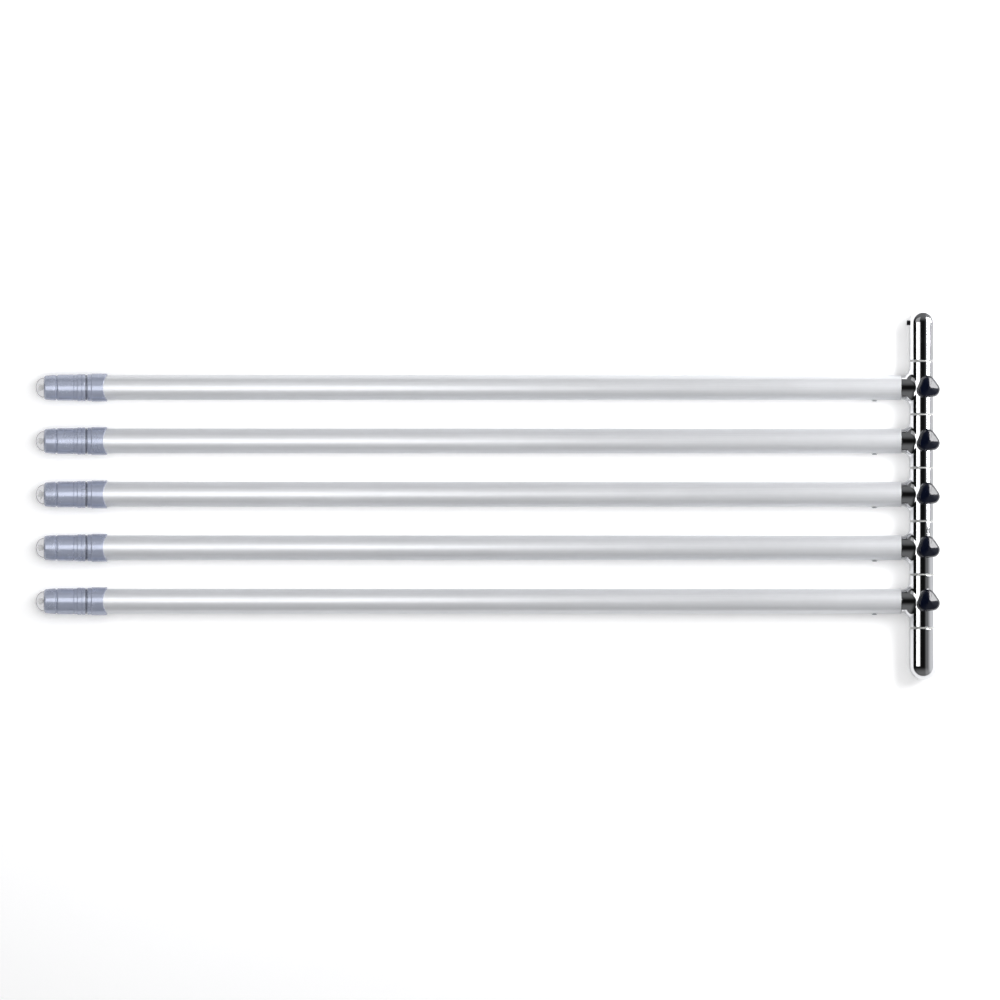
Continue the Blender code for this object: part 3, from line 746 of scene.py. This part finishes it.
class RAKE_OT_set_screws(bpy.types.Operator):
    """Build the socket set screws of the end sleeves"""
    bl_idname = "rake.set_screws"
    bl_label = "Set screws"

    def execute(self, context):
        bar = context.scene.rake_bar
        look = black_oxide(context.scene.rake_colours)
        for label in ("top", "bottom"):
            node = f"end_screw_{label}"
            low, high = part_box(node)
            start, end, radius = AXIS.x - high.x, AXIS.x - low.x, bar.screw_radius
            point, root, quarter = 0.3 * radius, 0.86 * radius, bar.screw_pitch / 4
            ridge = start + point
            corners = [(start, 0), (start, radius - point), (ridge, radius)]
            while ridge + 4 * quarter < end - 2 * quarter:
                corners += [(ridge + quarter, radius), (ridge + 2 * quarter, root),
                            (ridge + 3 * quarter, radius)]
                ridge += 4 * quarter
            corners += [(end, radius, 0.0003), (end, 0)]
            floor = end - bar.screw_socket_depth
            socket = cylinder("Socket", bar.screw_socket / sqrt(3), floor, 2 * end, 6)
            screw = carved(turned("Set screw", corners, 32), [(socket, Matrix())])
            put(f"socket_screw_{label}", screw, cross_place(node, -pi / 2), "crossbar", node, look)
        return {"FINISHED"}


class RAKE_OT_washers(bpy.types.Operator):
    """Build the washers in the seams between the sleeves"""
    bl_idname = "rake.washers"
    bl_label = "Washers"

    def execute(self, context):
        bar = context.scene.rake_bar
        half, outer = half_span("washer_1", 1), half_span("washer_1", 2)
        corners = [(z, radius, bar.washer_rim) for z, radius in
                   ((-half, bar.bore_radius), (-half, outer), (half, outer), (half, bar.bore_radius))]
        washer = turned("Washer", corners, 64, joined=True)
        look = nylon("Washer nylon", context.scene.rake_colours.washer)
        for number in range(1, ARM_COUNT + 2):
            node = f"washer_{number}"
            put(f"seam_washer_{number}", washer, bar_place(middle(node).y), "crossbar", node, look)
        return {"FINISHED"}


class RAKE_OT_tees(bpy.types.Operator):
    """Build the tees: a sleeve on the crossbar, a swept neck and the spigot inside the tube"""
    bl_idname = "rake.tees"
    bl_label = "Tees"

    def execute(self, context):
        bar, tee = context.scene.rake_bar, context.scene.rake_tee
        tube, knob = context.scene.rake_tube, context.scene.rake_knob
        gap = context.scene.rake_grip.fit
        outer, half = bar.sleeve_radius, half_span("tee_1", 1)
        edge = half - 1.3 * bar.rim  # where the rim's rounding and its support begin
        count = 128
        turns = [2 * pi * step / count for step in range(count)]
        exact = {}

        def on_sleeve(radius, angle, across):
            spot = Vector((radius * sin(angle), across, radius * cos(angle)))
            exact[key_of(spot)] = Vector((sin(angle), 0, cos(angle))) * (1 if radius == outer else -1)
            return spot

        # From the spigot's bore over the shoulder to the neck
        spigot_end = reach("tee_1", True)
        bore = tee.spigot_radius - tee.spigot_wall
        ball, arm = tee.neck_radius + tee.fillet, outer + tee.fillet
        seat = tee.neck_end
        corners = [(seat + tee.spigot_web, 0), (seat + tee.spigot_web, bore, 0.001),
                   (spigot_end, bore, 0.0004), (spigot_end, tee.spigot_radius, 0.0008),
                   (seat, tee.spigot_radius, 0.0002),
                   (seat, tee.neck_radius, tee.shoulder), (arm, tee.neck_radius)]
        outline = rounded(corners)[:-1]
        rings = [[Vector((radius * sin(turn), radius * cos(turn), z))
                  for turn in (turns if radius else turns[:1])] for z, radius, _ in outline]
        marks = [mark for _, _, mark in outline]
        # Down the fillet that a ball leaves as it rolls between neck and sleeve
        steps = 12
        for step in range(steps + 1):
            ring = []
            for turn in turns:
                x, y = ball * sin(turn), ball * cos(turn)
                centre = Vector((x, y, sqrt(arm ** 2 - x ** 2)))
                on_neck = Vector((-sin(turn), -cos(turn), 0))
                foot = Vector((-x / arm, 0, -centre.z / arm))
                aim = on_neck.slerp(foot, step / steps)
                spot = centre + tee.fillet * aim
                exact[key_of(spot)] = -aim
                ring.append(spot)
            rings.append(ring)
        # Out over the sleeve to the edges of its near half
        for step in range(1, 9):
            ring = []
            for index, turn in enumerate(turns):
                across, angle = square_edge(index, count, edge)
                share = step / 8
                start = asin(ball * sin(turn) / arm)
                ring.append(on_sleeve(outer, start + (angle - start) * share,
                                      ball * cos(turn) * (1 - share) + across * share))
            rings.append(ring)
        marks += [0.0] * (len(rings) - len(marks))
        form = bmesh.new()
        skin(form, rings, marks)
        # The sleeve's far half, and its rims and bore
        quarter = count // 4
        rows = [[on_sleeve(outer, pi / 2 + pi * row / quarter, edge * (1 - 2 * step / quarter))
                 for step in range(quarter + 1)] for row in range(quarter + 1)]
        skin(form, rows, around=False)
        rim = rounded([(edge, outer), (half, outer, bar.rim), (half, bar.bore_radius, bar.rim / 2),
                       (0, bar.bore_radius)])
        inside = rim + [(-z, radius, mark) for z, radius, mark in reversed(rim[:-1])]
        skin(form, [[on_sleeve(radius, 2 * pi * step / (2 * quarter), z) for step in range(2 * quarter)]
                    for z, radius, _ in inside], [mark for _, _, mark in inside])
        casting = mesh_of("Tee", form)
        for_stud = cylinder("Stud hole", knob.stud_radius + gap, 0, 2 * outer, 32)
        for_rivet = cylinder("Rivet hole", tube.rivet_radius + gap, 0, 2 * tube.radius, 32)
        leaning = Matrix.Rotation(pi / 2 + knob.lean, 4, "Y")
        casting = carved(casting, [(for_stud, leaning), (for_rivet, rivet_place(tube))])

        def ideals(spot):
            found = []
            if key_of(spot) in exact:
                found.append(exact[key_of(spot)])
            radial = Vector((spot.x, 0, spot.z))
            if abs(radial.length - outer) < ON_SURFACE and abs(spot.y) < edge + HAIR:
                found.append(radial.normalized())
            if abs(radial.length - bar.bore_radius) < ON_SURFACE:
                found.append(-radial.normalized())
            return found

        true_normals(casting, ideals)
        put_all("tee_casting", casting, "tee", chrome(context.scene.rake_colours))
        return {"FINISHED"}


def square_edge(index, count, edge):
    """Where a turn of the neck meets the rim of the sleeve's near half: across the bar, and round it."""
    eighth = count // 8
    side, step = divmod((index + eighth) % count, 2 * eighth)
    share = step / eighth - 1
    return ((edge, share * pi / 2), (-share * edge, pi / 2),
            (-edge, -share * pi / 2), (share * edge, -pi / 2))[side]


class RAKE_OT_tubes(bpy.types.Operator):
    """Build the satin arm tubes"""
    bl_idname = "rake.tubes"
    bl_label = "Arm tubes"

    def execute(self, context):
        tube = context.scene.rake_tube
        near, far = reach("arm_tube_1", False), reach("arm_tube_1", True)
        bore = tube.radius - tube.wall
        at = tube.rivet_at
        beside = (at - 0.004, at + 0.004)  # rings that keep the hole's faces short
        corners = [(near, bore, tube.edge / 2), *((z, bore) for z in beside), (far, bore, tube.edge / 2),
                   (far, tube.radius, tube.edge), *((z, tube.radius) for z in reversed(beside)),
                   (near, tube.radius, tube.edge)]
        hole = cylinder("Rivet hole", tube.rivet_radius + context.scene.rake_grip.fit, 0, 2 * tube.radius, 24)
        pipe = carved(turned("Arm tube", corners, 80, joined=True), [(hole, rivet_place(tube))])

        def ideals(spot):
            radial = Vector((spot.x, spot.y, 0))
            if abs(radial.length - tube.radius) < ON_SURFACE:
                return [radial.normalized()]
            return [-radial.normalized()] if abs(radial.length - bore) < ON_SURFACE else []

        true_normals(pipe, ideals)
        put_all("tube", pipe, "arm_tube", satin_aluminium(context.scene.rake_colours))
        return {"FINISHED"}


class RAKE_OT_rivets(bpy.types.Operator):
    """Build the blind rivets that hold the tubes on their spigots"""
    bl_idname = "rake.rivets"
    bl_label = "Tube rivets"

    def execute(self, context):
        tube = context.scene.rake_tube
        seat, head = tube.radius + tube.head_gap, tube.head_radius
        start = middle("arm_tube_1").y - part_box("tube_rivet_1")[1].y
        top = seat + tube.head_height
        corners = [(start, 0), (start, tube.rivet_radius, 0.0003), (seat, tube.rivet_radius),
                   (seat, head, 0.0002)]
        corners += [(seat + tube.head_height * sin(angle), head * cos(angle))
                    for angle in (radians(turn) for turn in (25, 45, 60, 70))]
        dimple = top - 0.0004
        corners += [(top - 0.0001, head * 0.28, 0.0002), (dimple, head * 0.24, 0.0001), (dimple, 0)]
        rivet = turned("Rivet", corners, 40)
        put_all("blind_rivet", rivet, "tube_rivet", rivet_metal(context.scene.rake_colours),
                lambda number: arm_place(number) @ rivet_place(tube))
        return {"FINISHED"}


class RAKE_OT_collars(bpy.types.Operator):
    """Build the stepped collars with waved mouths over the tubes' ends"""
    bl_idname = "rake.collars"
    bl_label = "Grip collars"

    def execute(self, context):
        grip, tube = context.scene.rake_grip, context.scene.rake_tube
        outer = context.scene.rake_bar.sleeve_radius
        back = reach("grip_collar_1", True)
        mouth = back - grip.collar_length
        step_at = back - grip.collar_step_at
        inner, low = tube.radius + grip.fit, grip.plug_radius + grip.fit
        small = grip.rounding / 2
        corners = [(back, low, small), (back, outer - grip.collar_step, grip.rounding),
                   (step_at, outer - grip.collar_step, small / 2), (step_at - grip.collar_step, outer, small)]
        corners += [(mouth + share * (step_at - mouth), outer) for share in (0.7, 0.5, 0.3)]
        corners += [(mouth, outer, grip.mouth_rounding), (mouth, inner, small)]
        corners += [(mouth + share * (back - mouth), inner) for share in (0.3, 0.6)]
        corners += [(back - grip.collar_lip, inner, small), (back - grip.collar_lip, low, small)]
        collar = turned("Collar", corners, 96, joined=True)
        bend = mouth + 0.5 * (step_at - mouth)
        for vertex in collar.vertices:
            up, side, distance = vertex.co
            share = min(max((bend - distance) / (bend - mouth), 0.0), 1.0)
            ease = share * share * (3 - 2 * share)
            vertex.co.z -= ease * grip.collar_wave * (side ** 2 - up ** 2) / (side ** 2 + up ** 2)
        put_all("waved_collar", collar, "grip_collar", collar_plastic(context.scene.rake_colours))
        return {"FINISHED"}


class RAKE_OT_barrels(bpy.types.Operator):
    """Build the ringed barrels with their plugs"""
    bl_idname = "rake.barrels"
    bl_label = "Grip barrels"

    def execute(self, context):
        grip, eye = context.scene.rake_grip, context.scene.rake_eye
        outer = context.scene.rake_bar.sleeve_radius
        start, plug_end = reach("grip_barrel_1", True), reach("grip_barrel_1", False)
        shank = eye.shank_radius + grip.fit
        shank_end = start - eye.shank_length - grip.fit
        end, waist = outer - grip.end_step, outer - grip.waist_step
        body, band = outer - grip.body_step, outer - grip.band_step
        bore = grip.plug_radius - grip.plug_wall
        shoulder = start - grip.shoulder_at
        small, fine = grip.rounding, grip.rounding / 4
        corners = [(shank_end, 0), (shank_end, shank, small), (start, shank, fine), (start, end, small),
                   (start - 0.0012, end + 0.0012, small), (start - grip.waist_at, waist, small)]

        def cut(at, radius, width, depth, rounding):
            near = start - at
            slope = width / 4
            return [(near, radius, rounding), (near - slope, radius - depth, rounding / 2),
                    (near - width + slope, radius - depth, rounding / 2), (near - width, radius, rounding)]

        corners += cut(grip.groove_at, waist, grip.groove_width, grip.groove_depth, 0.00025)
        corners += [(start - grip.groove_at - grip.groove_width - 0.001, body, small)]
        corners += cut(grip.ring_at, body, grip.ring_width, grip.ring_depth, 0.00012)
        corners += [(start - grip.band_at, body, 0.0001),
                    (start - grip.band_at - grip.ring_depth, band, 0.00015)]
        corners += cut((grip.band_at + grip.shoulder_at) / 2, band, grip.ring_width, grip.ring_depth, 0.00012)
        neck, neck_end = outer - grip.neck_step, reach("grip_collar_1", True) + grip.fit
        corners += [(shoulder, band, small), (shoulder, neck, fine), (neck_end, neck, fine),
                    (neck_end, grip.plug_radius, fine), (plug_end, grip.plug_radius, small),
                    (plug_end, bore, fine), (shank_end - grip.web, bore, small), (shank_end - grip.web, 0)]
        barrel = turned("Barrel", corners, 96)
        # Painted shade: the barrel's neck in the gap beside the collar is darkened through its edge marks
        foot = grip.plug_radius + grip.rounding
        for vertex, mark in zip(barrel.vertices, barrel.attributes["edge"].data):
            if neck_end - ON_SURFACE < vertex.co.z < shoulder and vertex.co.xy.length > foot:
                mark.value = -grip.neck_shade
        put_all("ringed_barrel", barrel, "grip_barrel", barrel_plastic(context.scene.rake_colours))
        return {"FINISHED"}


class RAKE_OT_eyes(bpy.types.Operator):
    """Build the polished hanging eyes"""
    bl_idname = "rake.eyes"
    bl_label = "Hanging eyes"

    def execute(self, context):
        eye, grip = context.scene.rake_eye, context.scene.rake_grip
        tip, start = reach("hanging_eye_1", True), reach("hanging_eye_1", False)
        base = reach("grip_barrel_1", True) + grip.fit
        arc = [pi / 2 * step / 20 for step in range(1, 20)]
        corners = [(start, 0), (start, eye.shank_radius, 0.0008), (base, eye.shank_radius, 0.0003),
                   (base, eye.radius - 0.0001, 0.0003)]
        corners += [(base + (tip - base) * sin(angle), eye.radius * cos(angle)) for angle in arc]
        blank = turned("Eye", corners + [(tip, 0)], 64)
        depth, short = 2 * eye.radius, 0.00005  # the flats stop just short of the barrel
        tools = []
        for side in (1, -1):
            form = bmesh.new()
            bmesh.ops.create_cube(form, size=1)
            bmesh.ops.scale(form, vec=(depth, 2 * depth, 4 * (tip - base)), verts=form.verts)
            beside = Matrix.Translation((side * (eye.thickness + depth) / 2, 0, tip))
            above = Matrix.Translation((0, 0, tip - base + short))
            tools.append((mesh_of("Flat", form), beside @ above))
        across = Matrix.Translation((0, 0, tip - eye.hole_setback)) @ Matrix.Rotation(pi / 2, 4, "Y")
        tools.append((cylinder("Eye hole", eye.hole_radius, -depth, depth, 48), across))
        made = carved(blank, tools, edge=eye.edge)
        put_all("polished_eye", made, "hanging_eye", polished(context.scene.rake_colours))
        return {"FINISHED"}


class RAKE_OT_knobs(bpy.types.Operator):
    """Build the glossy three-lobed clamp knobs"""
    bl_idname = "rake.knobs"
    bl_label = "Clamp knobs"

    def execute(self, context):
        knob, gap = context.scene.rake_knob, context.scene.rake_grip.fit
        foot, top = knob.base + knob.hub_height, knob.base + knob.height
        body, radius = top - foot, knob.radius
        # share of the body's height, share of the radius, rounding
        shares = ((0, 0.6, 0), (0, 0.90, 0.0010), (0.16, 1, 0.0020), (0.56, 1, 0.0030), (0.79, 0.84, 0.0014),
                  (1, 0.12, 0.0008), (1, 0.03, 0))
        profile = rounded([(foot + up * body, out * radius, rounding) for up, out, rounding in shares])

        def outline(width):
            arcs = []
            for lobe in range(3):
                aim = knob.turn + 2 * pi * lobe / 3
                out = (knob.radius - knob.lobe) * width
                turns = [aim + radians(120) * (step / 12 - 0.5) for step in range(13)]
                arcs.append([Vector((out * cos(aim) + knob.lobe * width * cos(turn),
                                     out * sin(aim) + knob.lobe * width * sin(turn), 0)) for turn in turns])
            points = []
            for arc, after in zip(arcs, arcs[1:] + arcs[:1]):
                points += arc + [arc[-1].lerp(after[0], step / 8) for step in range(1, 8)]
            return points

        count = len(outline(1.0))
        start = knob.turn - radians(60)
        hole, hub = knob.stud_radius + gap, knob.hub_radius
        floor, rim = knob.base + knob.stud_grip + gap, 0.0003
        rings = [circle(0, floor, 1)]
        rings += [circle(radius, z, count, start) for radius, z in
                  ((hole, floor), (hole, knob.base), (hub - rim, knob.base), (hub, knob.base + rim),
                   (hub, foot))]
        marks = [0.0] * len(rings)
        for z, width, mark in profile:
            rings.append([point + Vector((0, 0, z)) for point in outline(width / radius)])
            marks.append(mark)
        rings.append(circle(0, top, 1))
        form = bmesh.new()
        skin(form, rings, marks + [0.0])
        made = mesh_of("Knob", form)
        put_all("lobed_knob", made, "clamp_knob", knob_plastic(context.scene.rake_colours),
                clamp_place, "knob")
        return {"FINISHED"}


class RAKE_OT_studs(bpy.types.Operator):
    """Build the threaded studs of the clamp knobs"""
    bl_idname = "rake.studs"
    bl_label = "Clamp studs"

    def execute(self, context):
        knob = context.scene.rake_knob
        start, end = knob.stud_start, knob.base + knob.stud_grip
        step, lead_in = knob.thread_pitch / 8, 0.0006
        levels = [start + step * index for index in range(int((end - start) / step) + 1)]
        rings = [[Vector((0, 0, start))]]
        for level in levels:
            taper = min(level - start, end - level, lead_in) - lead_in
            ring = []
            for spot in circle(1.0, level, 32):
                turn = spot.to_2d().angle_signed(Vector((1, 0))) / (2 * pi)
                phase = (level / knob.thread_pitch - turn) % 1.0
                ridge = min(abs(2 * phase - 1) * 1.25, 1.0)
                radius = min(knob.stud_radius - knob.thread_depth * (1 - ridge), knob.stud_radius + taper)
                ring.append(Vector((spot.x * radius, spot.y * radius, level)))
            rings.append(ring)
        rings.append([Vector((0, 0, levels[-1]))])
        form = bmesh.new()
        skin(form, rings)
        made = mesh_of("Stud", form, sharp=50.0)
        put_all("threaded_stud", made, "clamp_stud", stud_steel(context.scene.rake_colours),
                clamp_place, "knob")
        return {"FINISHED"}


class RAKE_OT_inner_pieces(bpy.types.Operator):
    """Give the rod and the pressure pads, whose CAD shapes stay, their finishes"""
    bl_idname = "rake.inner_pieces"
    bl_label = "Rod and pads"

    def execute(self, context):
        colours = context.scene.rake_colours
        looks = {"crossbar_rod": rod_steel(colours)}
        looks.update({f"clamp_pad_{number}": nylon("Pad nylon", colours.pad) for number in ARMS})
        for node, look in looks.items():
            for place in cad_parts[node].material_slots:
                place.material = look
        return {"FINISHED"}


class RAKE_OT_stage(bpy.types.Operator):
    """Build the pale floor, the soft studio lights and the camera"""
    bl_idname = "rake.stage"
    bl_label = "Stage"

    def execute(self, context):
        stage = context.scene.rake_stage
        self.floor(stage)
        self.room(stage)
        lamps = (
            # name, brightness, middle and size along X and Y
            ("Overhead softbox", stage.overhead, (-0.37, 0.03), (0.72, 0.46)),
            ("Overhead edge", stage.overhead * stage.edge_share, (0.06, 0.03), (0.14, 0.46)),
            ("Rear softbox", stage.overhead * stage.rear_share, (-0.62, 0.65), (1.30, 0.76)),
            ("Key softbox", stage.key, (1.065, 0.485), (0.43, 1.03)),
            ("Knob softbox", stage.key, (1.68, 0.60), (0.64, 0.80)),
        )
        for name, brightness, (x, y), size in lamps:
            self.lamp(name, brightness, Vector((x, y, AXIS.z + stage.height)), size)
        high = Vector((0, 0, AXIS.z + 3 * stage.height))
        self.lamp("Fill", stage.fill, high, (3.0, 3.0), mirrored=False)
        view = bpy.data.cameras.new("Camera")
        view.lens = view.sensor_width * stage.view_height / stage.view_width
        camera = bpy.data.objects.new("Camera", view)
        camera.location = (*stage.view_offset, AXIS.z + stage.view_height)
        context.scene.collection.objects.link(camera)
        context.scene.camera = camera
        context.scene.view_settings.view_transform = "Standard"
        return {"FINISHED"}

    def floor(self, stage):
        def build(tree):
            tone = use(tree, tone_drift(), {"Colour": (0.86, 0.86, 0.865, 1.0), "Scale": 2.0, "Amount": 0.02})
            grain = use(tree, moulded_grain(), {"Scale": 700.0})
            seen = add(tree, "ShaderNodeLightPath").outputs["Is Camera Ray"]
            return {"Base Color": tone["Colour"], "Normal": bumped(tree, grain["Height"], 0.00002),
                    "Emission Strength": scaled(tree, seen, stage.floor_glow)}
        half = stage.floor_size / 2
        form = bmesh.new()
        bmesh.ops.create_grid(form, x_segments=24, y_segments=24, size=half)
        bmesh.ops.translate(form, vec=(0, 0, CAD_BOUNDS[0][2] - 0.0002), verts=form.verts)
        mesh = mesh_of("Floor", form)
        fixed = {"Roughness": 0.85, "Specular IOR Level": 0.1, "Emission Color": (1.0, 1.0, 1.0, 1.0)}
        mesh.materials.append(finish("Pale floor", fixed, build))
        floor = bpy.data.objects.new("Floor", mesh)
        bpy.context.scene.collection.objects.link(floor)

    def lamp(self, name, brightness, place, size, mirrored=True):
        light = bpy.data.lights.new(name, "AREA")
        light.shape = "RECTANGLE"
        light.size, light.size_y = size
        light.energy = brightness * pi * size[0] * size[1]
        lamp = bpy.data.objects.new(name, light)
        lamp.location = place
        lamp.visible_camera = False
        lamp.visible_glossy = mirrored
        bpy.context.scene.collection.objects.link(lamp)

    def room(self, stage):
        world = bpy.data.worlds.new("Room")
        world.use_nodes = True
        tree = world.node_tree
        way = add(tree, "ShaderNodeTexCoord").outputs["Generated"]
        parts = add(tree, "ShaderNodeSeparateXYZ", {0: way}).outputs
        ends = spread(tree, maths(tree, "ABSOLUTE", parts["Y"]), 0.15, 0.85, 0.006, stage.room)
        glow = spread(tree, parts["X"], 0.15, 0.45, 0.0, 0.15)
        wall = spread(tree, parts["X"], 0.55, 0.95, 0.0, stage.wall)
        level = maths(tree, "ADD", maths(tree, "ADD", ends, glow), wall)
        tree.links.new(level, tree.nodes["Background"].inputs["Strength"])
        tree.nodes["Background"].inputs["Color"].default_value = (0.97, 0.98, 1.0, 1.0)
        bpy.context.scene.world = world


class RAKE_PT_panel(bpy.types.Panel):
    """Builds the pieces and the stage, and shows their sizes and colours"""
    bl_idname = "RAKE_PT_panel"
    bl_label = "Rake frame"
    bl_space_type = "VIEW_3D"
    bl_region_type = "UI"
    bl_category = "Rake frame"

    def draw(self, context):
        for operator in OPERATORS:
            self.layout.operator(operator.bl_idname)
        for name, settings in SETTINGS.items():
            box = self.layout.box()
            box.label(text=settings.__doc__)
            for label in settings.__annotations__:
                box.prop(getattr(context.scene, name), label)


OPERATORS = (RAKE_OT_end_sleeves, RAKE_OT_set_screws, RAKE_OT_washers, RAKE_OT_tees, RAKE_OT_tubes,
             RAKE_OT_rivets, RAKE_OT_collars, RAKE_OT_barrels, RAKE_OT_eyes, RAKE_OT_knobs, RAKE_OT_studs,
             RAKE_OT_inner_pieces, RAKE_OT_stage)
CLASSES = (*SETTINGS.values(), *OPERATORS, RAKE_PT_panel)


def register():
    for item in CLASSES:
        bpy.utils.register_class(item)
    for name, settings in SETTINGS.items():
        setattr(bpy.types.Scene, name, PointerProperty(type=settings))


def unregister():
    for name in SETTINGS:
        delattr(bpy.types.Scene, name)
    for item in reversed(CLASSES):
        bpy.utils.unregister_class(item)


def main():
    register()
    bpy.ops.rake.end_sleeves()
    bpy.ops.rake.set_screws()
    bpy.ops.rake.washers()
    bpy.ops.rake.tees()
    bpy.ops.rake.tubes()
    bpy.ops.rake.rivets()
    bpy.ops.rake.collars()
    bpy.ops.rake.barrels()
    bpy.ops.rake.eyes()
    bpy.ops.rake.knobs()
    bpy.ops.rake.studs()
    bpy.ops.rake.inner_pieces()
    bpy.ops.rake.stage()


if __name__ == "__main__":
    main()
